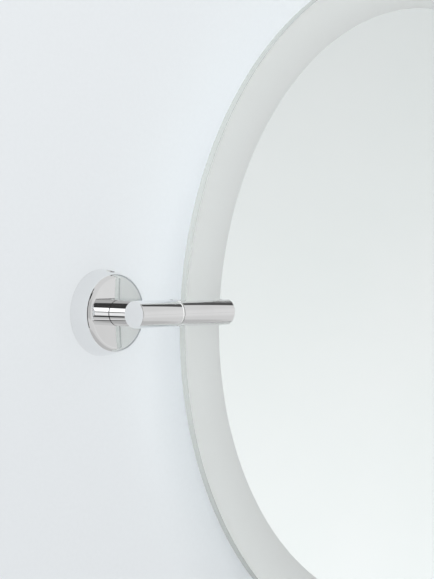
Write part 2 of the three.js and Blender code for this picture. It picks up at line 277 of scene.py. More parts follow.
def cut(piece, *cutters):
    """Takes the cutters out of the piece and deletes them."""
    for cutter in cutters:
        boolean = piece.modifiers.new("cut", "BOOLEAN")
        boolean.operation = "DIFFERENCE"
        boolean.solver = "EXACT"
        boolean.object = cutter
    graph = bpy.context.evaluated_depsgraph_get()
    mesh = bpy.data.meshes.new_from_object(piece.evaluated_get(graph))
    piece.modifiers.clear()
    piece.data = mesh
    for cutter in cutters:
        bpy.data.objects.remove(cutter)
    smooth(mesh)
    return piece


def shift(piece, x=0.0, y=0.0, z=0.0):
    piece.data.transform(Matrix.Translation((x, y, z)))
    return piece


def thread(radius, pitch, depth, start, end):
    """Radius of a V thread between two places along a screw, plain elsewhere."""
    def wave(r, along, turn):
        if r < radius * 0.98 or not start < along < end:
            return r
        phase = (along / pitch - turn) % 1
        return r - depth * abs(2 * phase - 1)
    return wave


def thread_stations(radius, start, end, pitch, steps=6):
    """Profile points along a threaded length, close enough together to carry the thread."""
    count = max(2, round(abs(end - start) / pitch * steps))
    return [(radius, start + (end - start) * i / count) for i in range(count + 1)]


# ------------------------------------------------------------------ material helpers

def new_material(name):
    material = bpy.data.materials.new(name)
    material.use_nodes = True
    tree = material.node_tree
    shader = tree.nodes["Principled BSDF"]
    return material, tree, shader


def set_inputs(tree, made, inputs):
    """Links or sets a node's inputs, given as pairs of a name or number and what goes in."""
    for key, value in inputs:
        socket = made.inputs[key]
        if isinstance(value, bpy.types.NodeSocket):
            tree.links.new(value, socket)
        else:
            socket.default_value = value


def node(tree, kind, settings=None, **inputs):
    made = tree.nodes.new(kind)
    for key, value in (settings or {}).items():
        setattr(made, key, value)
    set_inputs(tree, made, inputs.items())
    return made


def noise(tree, scale, detail=3.0, roughness=0.5, stretch=(1, 1, 1)):
    """Noise in the piece's own coordinates, so that it stays put as the piece moves."""
    place = node(tree, "ShaderNodeTexCoord").outputs["Object"]
    mapping = node(tree, "ShaderNodeMapping", Vector=place, Scale=stretch)
    made = node(tree, "ShaderNodeTexNoise", Vector=mapping.outputs["Vector"], Scale=scale, Detail=detail,
                Roughness=roughness)
    return made.outputs["Fac"]


def to_range(tree, value, low, high, from_low=0.3, from_high=0.7):
    ends = (("From Min", from_low), ("From Max", from_high), ("To Min", low), ("To Max", high))
    made = node(tree, "ShaderNodeMapRange", Value=value)
    set_inputs(tree, made, ends)
    return made.outputs["Result"]


def two_tones(tree, factor, first, second):
    made = node(tree, "ShaderNodeMix", {"data_type": "RGBA"})
    set_inputs(tree, made, (("Factor", factor), ("A", (*first, 1)), ("B", (*second, 1))))
    return made.outputs["Result"]


def math_node(tree, operation, *values):
    made = node(tree, "ShaderNodeMath", {"operation": operation})
    set_inputs(tree, made, enumerate(values))
    return made.outputs["Value"]


def choose(tree, factor, first, second):
    """The first value where the factor is 0, the second where it is 1."""
    made = node(tree, "ShaderNodeMix", {"data_type": "FLOAT"})
    set_inputs(tree, made, (("Factor", factor), ("A", first), ("B", second)))
    return made.outputs["Result"]


def mixed_surface(tree, factor, first, second):
    """Ends a material with a mix of two shaders: the first where the factor is 0."""
    mix = node(tree, "ShaderNodeMixShader", Fac=factor)
    set_inputs(tree, mix, ((1, first.outputs["BSDF"]), (2, second.outputs["BSDF"])))
    tree.links.new(mix.outputs["Shader"], tree.nodes["Material Output"].inputs["Surface"])


def bump(tree, shader, height, strength, distance):
    made = node(tree, "ShaderNodeBump", Height=height, Strength=strength, Distance=distance)
    tree.links.new(made.outputs["Normal"], shader.inputs["Normal"])


# ------------------------------------------------------------------ materials

def chrome_material():
    """Mirror-polished chrome plate: faint polishing haze, dried droplets' dullness, slight ripple."""
    material, tree, shader = new_material("polished_chrome")
    shader.inputs["Metallic"].default_value = 1
    haze = noise(tree, 45, 4)
    fine = noise(tree, 900, 2)
    tone = two_tones(tree, to_range(tree, haze, 0, 1), (0.875, 0.877, 0.88), (0.905, 0.907, 0.91))
    tree.links.new(tone, shader.inputs["Base Color"])
    tree.links.new(to_range(tree, fine, 0.015, 0.04), shader.inputs["Roughness"])
    bump(tree, shader, haze, 0.02, 0.4 * MM)
    return material


def plated_steel_material():
    """Zinc-plated steel: satin, with spangle and turning marks."""
    material, tree, shader = new_material("zinc_steel")
    shader.inputs["Metallic"].default_value = 1
    spangle = noise(tree, 260, 5, 0.6)
    marks = noise(tree, 1500, 2, 0.5, (1, 6, 1))
    tone = two_tones(tree, to_range(tree, spangle, 0, 1), (0.50, 0.51, 0.53), (0.68, 0.68, 0.66))
    tree.links.new(tone, shader.inputs["Base Color"])
    tree.links.new(to_range(tree, spangle, 0.28, 0.45), shader.inputs["Roughness"])
    bump(tree, shader, marks, 0.25, 0.1 * MM)
    return material


def dark_steel_material():
    """Blackened screw steel with an oily mottle."""
    material, tree, shader = new_material("dark_steel")
    shader.inputs["Metallic"].default_value = 1
    mottle = noise(tree, 700, 4, 0.6)
    tone = two_tones(tree, to_range(tree, mottle, 0, 1), (0.045, 0.047, 0.05), (0.12, 0.12, 0.125))
    tree.links.new(tone, shader.inputs["Base Color"])
    tree.links.new(to_range(tree, mottle, 0.3, 0.5), shader.inputs["Roughness"])
    bump(tree, shader, mottle, 0.15, 0.1 * MM)
    return material


def seam_shade_material():
    """Seam under the post, darkened with painted shade that stands in for the shadow in the gap."""
    material, tree, shader = new_material("painted_seam_shade")
    shade_mottle = noise(tree, 900, 4, 0.6)
    tone = two_tones(tree, to_range(tree, shade_mottle, 0, 1), (0.012, 0.012, 0.013), (0.035, 0.034, 0.033))
    tree.links.new(tone, shader.inputs["Base Color"])
    tree.links.new(to_range(tree, shade_mottle, 0.4, 0.7), shader.inputs["Roughness"])
    return material


def nylon_material(name, light, shade):
    """Moulded nylon: milky, faintly mottled, fine mould texture."""
    material, tree, shader = new_material(name)
    mottle = noise(tree, 180, 3)
    grain = noise(tree, 2600, 2)
    tree.links.new(two_tones(tree, to_range(tree, mottle, 0, 1), shade, light), shader.inputs["Base Color"])
    tree.links.new(to_range(tree, grain, 0.32, 0.45), shader.inputs["Roughness"])
    shader.inputs["Subsurface Weight"].default_value = 0.2
    shader.inputs["Subsurface Radius"].default_value = (MM, MM, MM)
    shader.inputs["Subsurface Scale"].default_value = 1
    bump(tree, shader, grain, 0.2, 0.05 * MM)
    return material


def liner_material():
    """Soft translucent liner strip."""
    material, tree, shader = new_material("clear_liner")
    grain = noise(tree, 1200, 3)
    tone = two_tones(tree, to_range(tree, grain, 0, 1), (0.66, 0.69, 0.69), (0.76, 0.78, 0.78))
    tree.links.new(tone, shader.inputs["Base Color"])
    tree.links.new(to_range(tree, grain, 0.35, 0.55), shader.inputs["Roughness"])
    shader.inputs["Transmission Weight"].default_value = 0.35
    bump(tree, shader, grain, 0.15, 0.1 * MM)
    return material


def clear_glass_material():
    """Front of the float glass: colourless and smooth."""
    material, tree, shader = new_material("float_glass")
    smear = noise(tree, 9, 4, 0.6)
    tone = two_tones(tree, to_range(tree, smear, 0, 1), (0.965, 0.985, 0.975), (0.975, 0.99, 0.982))
    tree.links.new(tone, shader.inputs["Base Color"])
    shader.inputs["Roughness"].default_value = 0.0
    shader.inputs["IOR"].default_value = 1.5
    shader.inputs["Transmission Weight"].default_value = 1
    return material


def from_centre(tree):
    """Distance from the middle of the disc. Its mesh is in the frame's own coordinates."""
    place = node(tree, "ShaderNodeTexCoord").outputs["Object"]
    centre = (0, TILT_AXIS.y, -MIRROR_DROP)
    away = node(tree, "ShaderNodeVectorMath", {"operation": "DISTANCE"})
    set_inputs(tree, away, ((0, place), (1, centre)))
    return away.outputs["Value"]


def etched_glass_material():
    """Acid-etched border: milky, matt and translucent, with painted shade making it a little darker towards
    the silvering.
    """
    material, tree, shader = new_material("etched_glass")
    frost = noise(tree, 1800, 3, 0.6)
    # painted shade: darker towards the silvering, where the mirror shades the wall behind the border
    painted_shade_inwards = to_range(tree, from_centre(tree), 1, 0, SILVER_RADIUS, MIRROR_RADIUS)
    tone = two_tones(tree, painted_shade_inwards, (0.89, 0.92, 0.905), (0.77, 0.795, 0.785))
    tree.links.new(tone, shader.inputs["Base Color"])
    tree.links.new(to_range(tree, frost, 0.5, 0.62), shader.inputs["Roughness"])
    shader.inputs["IOR"].default_value = 1.3
    bump(tree, shader, frost, 0.2, 0.05 * MM)
    glow = node(tree, "ShaderNodeBsdfTranslucent")
    tree.links.new(two_tones(tree, frost, (0.85, 0.87, 0.86), (0.90, 0.91, 0.905)), glow.inputs["Color"])
    mixed_surface(tree, 0.4, shader, glow)
    return material


def ground_edge_material():
    """Ground edge of the glass: matt, grey-green from the thickness that it is seen through."""
    material, tree, shader = new_material("ground_glass_edge")
    grain = noise(tree, 1500, 3, 0.6)
    tone = two_tones(tree, to_range(tree, grain, 0, 1), (0.29, 0.31, 0.302), (0.335, 0.355, 0.347))
    tree.links.new(tone, shader.inputs["Base Color"])
    tree.links.new(to_range(tree, grain, 0.35, 0.5), shader.inputs["Roughness"])
    bump(tree, shader, grain, 0.25, 0.05 * MM)
    return material


def silver_material():
    """The silvering seen through the glass."""
    material, tree, shader = new_material("silvering")
    shader.inputs["Metallic"].default_value = 1
    cloud = noise(tree, 6, 3)
    tone = two_tones(tree, to_range(tree, cloud, 0, 1), (0.93, 0.945, 0.958), (0.945, 0.955, 0.968))
    tree.links.new(tone, shader.inputs["Base Color"])
    shader.inputs["Roughness"].default_value = 0.0
    return material


def film_material():
    """Grey woven safety film on the back of the silvering."""
    material, tree, shader = new_material("backing_film")
    place = node(tree, "ShaderNodeTexCoord").outputs["Object"]
    weave = []
    for direction in ("X", "Z"):
        wave = node(tree, "ShaderNodeTexWave", {"bands_direction": direction}, Vector=place, Scale=120.0)
        weave.append(wave.outputs["Fac"])
    crossed = math_node(tree, "MULTIPLY", *weave)
    stain = noise(tree, 12, 4, 0.6)
    tone = two_tones(tree, to_range(tree, stain, 0, 1), (0.40, 0.43, 0.45), (0.48, 0.51, 0.53))
    tree.links.new(tone, shader.inputs["Base Color"])
    tree.links.new(to_range(tree, stain, 0.4, 0.55), shader.inputs["Roughness"])
    bump(tree, shader, crossed, 0.4, 0.1 * MM)
    return material


CHROME = chrome_material()
ZINC = plated_steel_material()
DARK = dark_steel_material()
# painted shade for the seam under the post
SEAM_SHADE = seam_shade_material()
# The white nylon's light grey is partly painted shade, standing in for the shadow of the barrels beside the
# ring, which throw none
NYLON = nylon_material("white_nylon", (0.72, 0.73, 0.72), (0.66, 0.67, 0.66))
PLUG = nylon_material("plug_nylon", (0.30, 0.32, 0.33), (0.24, 0.26, 0.27))
LINER = liner_material()
FLOAT_GLASS = clear_glass_material()
ETCHED_GLASS = etched_glass_material()
GROUND_EDGE = ground_edge_material()
SILVER = silver_material()
FILM = film_material()


# The light is so even that the small brackets throw no shadow on the wall
THROWS_SHADOW = ("glass_disc", "silver_layer", "backing_film")


def finish_piece(piece, cad_node, material):
    """Gives a piece its material and the body of the CAD node that it stands for, and hides that node."""
    if material:
        piece.data.materials.clear()
        piece.data.materials.append(material)
    body = next(name for name, members in BODIES.items() if cad_node in members)
    piece.visible_shadow = cad_node in THROWS_SHADOW
    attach(piece, body)
    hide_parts(cad_node)
    return piece


# ------------------------------------------------------------------ bracket pieces on the wall

def flange_side_radius(depth):
    """The flange's side narrows away from the wall, slowly at first."""
    straight = FLANGE_RADIUS - FLANGE_SIDE_SLOPE * FLANGE_SHOULDER_DEPTH
    share = depth / FLANGE_SHOULDER_DEPTH
    return FLANGE_RADIUS - FLANGE_SIDE_SLOPE * depth - (straight - FLANGE_SHOULDER_RADIUS) * share ** 2


def flange_outside(edge_steps=20, side_steps=16):
    """From the flat face, round its edge and down the side to the wall."""
    reach = FLANGE_SHOULDER_RADIUS - FLANGE_FACE_RADIUS
    drop = FLANGE_DEPTH - FLANGE_SHOULDER_DEPTH
    turn = 2 * math.atan2(drop, reach)
    rounding = reach / math.sin(turn)
    points = []
    for i in range(edge_steps + 1):
        angle = turn * i / edge_steps
        radius = FLANGE_FACE_RADIUS + rounding * math.sin(angle)
        points.append((radius, rounding * (1 - math.cos(angle)) - FLANGE_DEPTH))
    for i in reversed(range(side_steps)):
        depth = FLANGE_SHOULDER_DEPTH * i / side_steps
        points.append((flange_side_radius(depth), -depth))
    return points


def flange(side, centre):
    """Domed cover with a flat polished face, open at the back over the wall plate."""
    profile = [
        (0, -FLANGE_DEPTH),
        *flange_outside(),
        (FLANGE_BORE_RADIUS, 0, 0.4 * MM),
        (FLANGE_BORE_RADIUS, FLANGE_FRONT - FLANGE_DEPTH),
        (0, FLANGE_FRONT - FLANGE_DEPTH),
    ]
    piece = turned(f"{side}_flange_cover", profile)
    screw_hole = rod("hole", FLANGE_SCREW_RADIUS + HOLE_CLEARANCE, FLANGE_BORE_RADIUS - MM,
                     FLANGE_RADIUS + MM, axis="z")
    shift(screw_hole, y=-FLANGE_SCREW_HEIGHT)
    bolt_hole = rod("hole", BOLT_HOLE_RADIUS, -FLANGE_DEPTH - MM, FLANGE_FRONT - FLANGE_DEPTH + MM)
    cut(piece, screw_hole, bolt_hole)
    shift(piece, x=centre)
    return finish_piece(piece, f"{side}_flange", CHROME)


def grub_screw(name, radius, length, tip_radius, pitch=0.7 * MM):
    """Threaded grub screw along Z, its socket end at 0 and its point at -length."""
    cone = radius - tip_radius
    depth = pitch * 0.5
    threaded = thread_stations(radius, cone - length + depth, -depth, pitch)
    profile = [(0, -length), (tip_radius, -length)] + threaded + [(radius - depth, 0), (0, 0)]
    wave = thread(radius, pitch, depth, cone - length, -depth * 0.5)
    piece = turned(name, profile, SMALL_ROUND, "z", wave)
    socket = rod("socket", radius / math.sqrt(3), -length * 0.45, MM, 6, "z")
    return cut(piece, socket)


def flange_grub_screw(side, centre):
    sink = 1.2 * MM
    open_end = flange_side_radius(FLANGE_SCREW_HEIGHT) - sink
    tip = PLATE_RADIUS - GROOVE + 0.1 * MM
    piece = grub_screw(f"{side}_flange_set_screw", FLANGE_SCREW_RADIUS, open_end - tip, CONE_TIP_RADIUS)
    shift(piece, centre, -FLANGE_SCREW_HEIGHT, open_end)
    return finish_piece(piece, f"{side}_flange_grub_screw", DARK)


def wall_plate(side, centre):
    inner = PLATE_RADIUS - PLATE_WALL
    groove_half = GROOVE * 1.4
    profile = [
        (0, 0),
        (PLATE_RADIUS, 0, 0.4 * MM),
        (PLATE_RADIUS, groove_half - FLANGE_SCREW_HEIGHT),
        (PLATE_RADIUS - GROOVE, -FLANGE_SCREW_HEIGHT),
        (PLATE_RADIUS, -groove_half - FLANGE_SCREW_HEIGHT),
        (PLATE_RADIUS, -PLATE_HEIGHT, 0.3 * MM),
        (inner, -PLATE_HEIGHT, 0.3 * MM),
        (inner, -PLATE_FLOOR, 0.8 * MM),
        (0, -PLATE_FLOOR),
    ]
    piece = turned(f"{side}_wall_cup", profile)
    holes = []
    for up in (1, -1):
        hole = rod("hole", FIXING_HOLE_RADIUS, -PLATE_FLOOR - MM, MM)
        holes.append(shift(hole, z=up * FIXING_SPACING / 2))
    cut(piece, *holes)
    shift(piece, x=centre)
    return finish_piece(piece, f"{side}_wall_plate", ZINC)


def wall_screw(side, centre, level, up):
    """Pan head wood screw with a crossed recess and a coarse thread."""
    under = -PLATE_FLOOR - TOUCH_GAP
    top = under - 2.4 * MM
    head = 4 * MM
    point = 32 * MM
    pitch, depth = 1.8 * MM, 0.55 * MM
    thread_start, thread_end = 3 * MM, point - 4 * MM
    shank = [(SCREW_RADIUS, under + 0.3 * MM)]
    shank += thread_stations(SCREW_RADIUS, thread_start, thread_end, pitch, 8)
    profile = [(0, top), (head * 0.6, top, MM), (head, top + 1.2 * MM, 0.8 * MM), (head, under)]
    profile += [*shank, (0, point)]
    wave = thread(SCREW_RADIUS, pitch, depth, thread_start, thread_end)
    piece = turned(f"{side}_{level}_wood_screw", profile, SMALL_ROUND, "y", wave)
    arm, half_slot = 2 * MM, 0.45 * MM
    deep = top + 1.5 * MM
    first = block("recess", (-arm, top - MM, -half_slot), (arm, deep, half_slot))
    second = block("recess", (-half_slot, top - MM, -arm), (half_slot, deep, arm))
    cut(piece, first, second)
    shift(piece, x=centre, z=up * FIXING_SPACING / 2)
    return finish_piece(piece, f"{side}_{level}_wall_screw", ZINC)


def wall_plug(side, centre, level, up):
    """Ribbed nylon sleeve, split down its length."""
    outer, bore, length, ridges = 3.2 * MM, 2.25 * MM, 30 * MM, 9
    start = 0.3 * MM
    step = length / ridges
    valley = outer - 0.45 * MM
    profile = [(bore, start), (outer, start, 0.15 * MM)]
    for i in range(1, ridges):
        profile.append((valley, start + (i - 0.15) * step))
        profile.append((outer, start + i * step))
    profile += [(valley, start + length), (bore, start + length), (bore, start)]
    piece = turned(f"{side}_{level}_plug", profile, SMALL_ROUND)
    split_start, split_end, half_split = 9 * MM, 27 * MM, 0.35 * MM
    beyond = 5 * MM  # wider than the plug
    split = block("split", (-beyond, split_start, -half_split), (beyond, split_end, half_split))
    cut(piece, split)
    shift(piece, x=centre, z=up * FIXING_SPACING / 2)
    return finish_piece(piece, f"{side}_{level}_wall_plug", PLUG)


def post_ring(bm, radius, place=None):
    """Points around the post at a place along Y or, with no place, on the bar's surface."""
    overlap = 0.05 * MM
    ring = []
    for i in range(ROUND):
        x, _, z = on_axis(radius, 0, i / ROUND, "y")
        surface = TILT_AXIS.y + math.sqrt(BAR_RADIUS ** 2 - z * z) - overlap
        ring.append(bm.verts.new((x, surface if place is None else place, z)))
    return ring


def post(side, centre):
    """Round post. Its front end follows the bar's surface, and its foot has a chamfer darkened with painted
    shade.
    """
    bm = bmesh.new()
    back = -FLANGE_DEPTH
    chamfer = 0.4 * MM
    rings = [
        post_ring(bm, BOLT_HOLE_RADIUS, back),
        post_ring(bm, POST_RADIUS - chamfer, back),
        post_ring(bm, POST_RADIUS, back - chamfer),
        post_ring(bm, POST_RADIUS),
        post_ring(bm, BOLT_HOLE_RADIUS),
    ]
    for low, high in zip(rings, rings[1:] + rings[:1]):
        join_rings(bm, low, high)
    outward(bm)
    mesh = mesh_from(bm, "post")
    piece = shift(new_object(f"{side}_round_post", mesh), x=centre)
    finish_piece(piece, f"{side}_post", CHROME)
    shade_slot = 1
    # the chamfer's faces get the seam's painted shade
    mesh.materials.append(SEAM_SHADE)
    for face in mesh.polygons:
        if abs(face.normal.y) < FLAT_NORMAL and face.center.y > back - chamfer:
            face.material_index = shade_slot
    return piece


def post_bolt(side, centre):
    """Cap head bolt from inside the flange, through the post, into the fixed barrel."""
    under = FLANGE_FRONT - FLANGE_DEPTH + BOLT_HEAD_GAP
    head = 5 * MM
    top = under + 4 * MM
    tip = TILT_AXIS.y + BAR_RADIUS - 7 * MM
    thread_end = tip + 14 * MM
    pitch, depth, bevel = MM, 0.45 * MM, 0.5 * MM
    profile = [(0, tip), (BOLT_RADIUS - bevel, tip)]
    profile += thread_stations(BOLT_RADIUS, tip + bevel, thread_end, pitch)
    profile += [(BOLT_RADIUS, under), (head, under), (head, top, 0.5 * MM), (0, top)]
    wave = thread(BOLT_RADIUS, pitch, depth, tip + 0.6 * MM, thread_end)
    piece = turned(f"{side}_cap_bolt", profile, SMALL_ROUND, "y", wave)
    across_flats, socket_depth = 5 * MM, 2.4 * MM
    cut(piece, rod("socket", across_flats / math.sqrt(3), top - socket_depth, top + MM, 6))
    shift(piece, x=centre)
    return finish_piece(piece, f"{side}_post_bolt", DARK)


def post_bolt_washer(side, centre):
    start = FLANGE_FRONT - FLANGE_DEPTH + TOUCH_GAP
    thickness = 1.2 * MM
    profile = tube_profile(BOLT_HOLE_RADIUS, 6.5 * MM, start, start + thickness)
    piece = turned(f"{side}_bolt_washer", profile, SMALL_ROUND)
    shift(piece, x=centre)
    return finish_piece(piece, f"{side}_post_bolt_washer", ZINC)


def tube_profile(inner, outer, start, end, edge=0.1 * MM):
    """Closed profile of a tube with softened outer edges."""
    return [(inner, start), (outer, start, edge), (outer, end, edge), (inner, end), (inner, start)]


# ------------------------------------------------------------------ bar pieces

def along_bar(profile, inward):
    return [(point[0], inward * point[1], *point[2:]) for point in profile]


def fixed_barrel(side, centre, inward):
    """Fixed length of the bar, with a blind bore from the joint for the bush and the shaft."""
    end_rounding = 0.8 * MM
    profile = [
        (0, BAR_OUTER_END),
        (BAR_RADIUS, BAR_OUTER_END, end_rounding),
        (BAR_RADIUS, JOINT_PLANE, BAR_EDGE),
        (BORE_RADIUS, JOINT_PLANE),
        (BORE_RADIUS, BORE_START),
        (0, BORE_START),
    ]
    piece = turned(f"{side}_outer_barrel", along_bar(profile, inward), axis="x")
    bolt_hole = rod("hole", BOLT_HOLE_RADIUS, BAR_RADIUS - 8 * MM, BAR_RADIUS + MM)
    screw_hole = rod("hole", SCREW_RADIUS + HOLE_CLEARANCE, 0, BAR_RADIUS + MM, axis="z")
    shift(screw_hole, x=inward * BARREL_SCREW_PLACE)
    cut(piece, bolt_hole, screw_hole)
    shift(piece, centre, TILT_AXIS.y)
    return finish_piece(piece, f"{side}_fixed_barrel", CHROME)


def barrel_grub_screw(side, centre, inward):
    open_end = BAR_RADIUS - 0.7 * MM
    tip = 3.7 * MM
    piece = grub_screw(f"{side}_barrel_set_screw", SCREW_RADIUS, open_end - tip, CONE_TIP_RADIUS)
    shift(piece, centre + inward * BARREL_SCREW_PLACE, TILT_AXIS.y, open_end)
    return finish_piece(piece, f"{side}_barrel_grub_screw", DARK)


def pivot_bush(side, centre, inward):
    start, end = BORE_START + HOLE_CLEARANCE, JOINT_PLANE - HOLE_CLEARANCE
    profile = tube_profile(BUSH_BORE_RADIUS, BORE_RADIUS - HOLE_CLEARANCE, start, end)
    piece = turned(f"{side}_nylon_sleeve", along_bar(profile, inward), MEDIUM_ROUND, "x")
    hole = rod("hole", SCREW_RADIUS + HOLE_CLEARANCE, 0, 8 * MM, axis="z")
    cut(piece, shift(hole, x=inward * BARREL_SCREW_PLACE))
    shift(piece, centre, TILT_AXIS.y)
    return finish_piece(piece, f"{side}_pivot_bush", NYLON)


def pivot_washer(side, centre, inward):
    """Light ring with a rounded rim between the two lengths of the bar."""
    outer, rim = 8.75 * MM, 0.4 * MM
    profile = tube_profile(BUSH_BORE_RADIUS, outer, WASHER_START, WASHER_END, rim)
    piece = turned(f"{side}_joint_ring", along_bar(profile, inward), axis="x")
    shift(piece, centre, TILT_AXIS.y)
    return finish_piece(piece, f"{side}_pivot_washer", NYLON)


# ------------------------------------------------------------------ pieces that tilt

LEAN = Matrix.Translation(TILT_AXIS) @ Matrix.Rotation(REST_LEAN, 4, "X")


def lean(piece):
    """Puts a piece that was made upright around the tilt axis where it is at rest."""
    piece.data.transform(LEAN)
    return piece


def clamp_barrel(side, centre, inward):
    """Slotted length of the bar: two jaws joined by a web."""
    profile = [
        (0, CLAMP_START),
        (BAR_RADIUS, CLAMP_START, BAR_EDGE),
        (BAR_RADIUS, CLAMP_END, BAR_EDGE),
        (0, CLAMP_END),
    ]
    piece = turned(f"{side}_slotted_barrel", along_bar(profile, inward), axis="x")
    ends = sorted((inward * SLOT_START, inward * (CLAMP_END + MM)))
    slot = block("slot", (ends[0], SLOT_FRONT, -BAR_RADIUS - MM), (ends[1], SLOT_REAR, BAR_RADIUS + MM))
    spigot_ends = sorted((inward * (CLAMP_START - MM), inward * (SLOT_START + MM)))
    holes = [rod("hole", SPIGOT_RADIUS + HOLE_CLEARANCE, *spigot_ends, axis="x")]
    for place in CLAMP_SCREW_PLACES:
        hole = rod("hole", SCREW_RADIUS + HOLE_CLEARANCE, SLOT_REAR - MM, BAR_RADIUS + MM)
        holes.append(shift(hole, x=inward * place))
    cut(piece, slot, *holes)
    lean(shift(piece, x=centre))
    return finish_piece(piece, f"{side}_clamp_barrel", CHROME)


def pivot_shaft(side, centre, inward):
    """Shaft with a groove for the grub screw, and a thinner end that is fixed in the clamp."""
    groove_radius, groove_half, groove_slope = 3.4 * MM, 1.6 * MM, 0.6 * MM
    start = 7.3 * MM
    shoulder = CLAMP_START - TOUCH_GAP
    end = SLOT_START - HOLE_CLEARANCE
    profile = [
        (0, start),
        (SHAFT_RADIUS, start, 0.4 * MM),
        (SHAFT_RADIUS, BARREL_SCREW_PLACE - groove_half),
        (groove_radius, BARREL_SCREW_PLACE - groove_half + groove_slope, 0.3 * MM),
        (groove_radius, BARREL_SCREW_PLACE + groove_half - groove_slope, 0.3 * MM),
        (SHAFT_RADIUS, BARREL_SCREW_PLACE + groove_half),
        (SHAFT_RADIUS, shoulder),
        (SPIGOT_RADIUS, shoulder),
        (SPIGOT_RADIUS, end),
        (0, end),
    ]
    piece = turned(f"{side}_grooved_shaft", along_bar(profile, inward), MEDIUM_ROUND, "x")
    lean(shift(piece, x=centre))
    return finish_piece(piece, f"{side}_pivot_shaft", ZINC)


def slot_strip(side, centre, inward, cad_node, front, thickness, material):
    """Strip between a jaw and the glass, with soft edges."""
    reach = max(abs(front), abs(front + thickness))
    half = math.sqrt(BAR_RADIUS ** 2 - reach ** 2) - 0.4 * MM
    ends = sorted((inward * (SLOT_START + 0.2 * MM), inward * (CLAMP_END - 0.3 * MM)))
    piece = block(f"{side}_{cad_node}_strip", (ends[0], front, -half), (ends[1], front + thickness, half))
    lean(shift(piece, x=centre))
    soften(piece, 0.15 * MM)
    return finish_piece(piece, f"{side}_{cad_node}", material)


def clamp_screw(side, centre, inward, level, place):
    """Grub screw in the rear jaw. Its flat point bears on the pressure plate."""
    open_end = BAR_RADIUS - 0.5 * MM
    point = 1.3 * MM
    piece = grub_screw(f"{side}_{level}_jaw_screw", SCREW_RADIUS, open_end - SLOT_REAR, point)
    piece.data.transform(Matrix.Rotation(-math.pi / 2, 4, "X"))
    lean(shift(piece, centre + inward * place, open_end))
    return finish_piece(piece, f"{side}_{level}_clamp_screw", DARK)


def mirror_glass():
    """Float glass disc: smooth front with an etched border, ground edge."""
    border_slot, edge_slot = 1, 2
    half = GLASS_THICKNESS / 2
    arris = 0.5 * MM
    profile = [
        (0, -half),
        (SILVER_RADIUS, -half),
        (MIRROR_RADIUS - arris, -half),
        (MIRROR_RADIUS, arris - half),
        (MIRROR_RADIUS, half - arris),
        (MIRROR_RADIUS - arris, half),
        (SILVER_RADIUS, half),
        (0, half),
    ]
    piece = turned("round_glass", profile, DISC_ROUND)
    for material in (FLOAT_GLASS, ETCHED_GLASS, GROUND_EDGE):
        piece.data.materials.append(material)
    for face in piece.data.polygons:
        radius = math.hypot(face.center.x, face.center.z)
        if abs(face.normal.y) < FLAT_NORMAL:
            face.material_index = edge_slot
        elif face.normal.y < 0 and radius > SILVER_RADIUS:
            face.material_index = border_slot
    lean(shift(piece, z=-MIRROR_DROP))
    return finish_piece(piece, "glass_disc", None)


def thin_disc(name, cad_node, start, thickness, material):
    end = start + thickness
    profile = [(0, start), (SILVER_RADIUS, start), (SILVER_RADIUS, end), (0, end)]
    piece = turned(name, profile, DISC_ROUND)
    lean(shift(piece, z=-MIRROR_DROP))
    return finish_piece(piece, cad_node, material)


# ------------------------------------------------------------------ assembly

def build_bracket(side, inward):
    centre = -inward * BRACKET_X
    wall_plate(side, centre)
    for level, up in (("upper", 1), ("lower", -1)):
        wall_screw(side, centre, level, up)
        wall_plug(side, centre, level, up)
    flange(side, centre)
    flange_grub_screw(side, centre)
    post(side, centre)
    post_bolt(side, centre)
    post_bolt_washer(side, centre)
    fixed_barrel(side, centre, inward)
    barrel_grub_screw(side, centre, inward)
    pivot_bush(side, centre, inward)
    pivot_washer(side, centre, inward)


def build_clamp(side, inward):
    centre = -inward * BRACKET_X
    half = GLASS_THICKNESS / 2
    front = -half - TOUCH_GAP - PAD_THICKNESS
    rear = half + REAR_PAD_GAP
    behind = rear + PAD_THICKNESS + TOUCH_GAP
    pivot_shaft(side, centre, inward)
    clamp_barrel(side, centre, inward)
    slot_strip(side, centre, inward, "front_pad", front, PAD_THICKNESS, LINER)
    slot_strip(side, centre, inward, "rear_pad", rear, PAD_THICKNESS, LINER)
    slot_strip(side, centre, inward, "pressure_plate", behind, PRESSURE_THICKNESS, ZINC)
    for level, place in zip(("outer", "inner"), CLAMP_SCREW_PLACES):
        clamp_screw(side, centre, inward, level, place)


def build_mirror():
    silver_start = GLASS_THICKNESS / 2 + COAT_GAP
    film_start = silver_start + SILVER_THICKNESS + COAT_GAP
    mirror_glass()
    thin_disc("silvered_disc", "silver_layer", silver_start, SILVER_THICKNESS, SILVER)
    thin_disc("safety_film", "backing_film", film_start, FILM_THICKNESS, FILM)


for side_name, inward_sign in SIDES:
    build_bracket(side_name, inward_sign)
    build_clamp(side_name, inward_sign)
build_mirror()


# ------------------------------------------------------------------ stage

WALL_SIZE = (6, 4)
WALL_PLACE = (0, 0.2 * MM, 0.6)  # just behind the wall plates
FLOOR_SIZE = (6, 6)
FLOOR_PLACE = (0, -3, -1.4)
PAINT_CONTACT = 0.5 * MM  # the wall's paint doesn't shade what is nearer than this


def plane(name, width, height, matrix):
    bm = bmesh.new()
    bmesh.ops.create_grid(bm, x_segments=1, y_segments=1, size=0.5)
    bmesh.ops.scale(bm, vec=(width, height, 1), verts=bm.verts)
    mesh = mesh_from(bm, name)
    mesh.transform(matrix)
    piece = linked(name, mesh)
    return piece


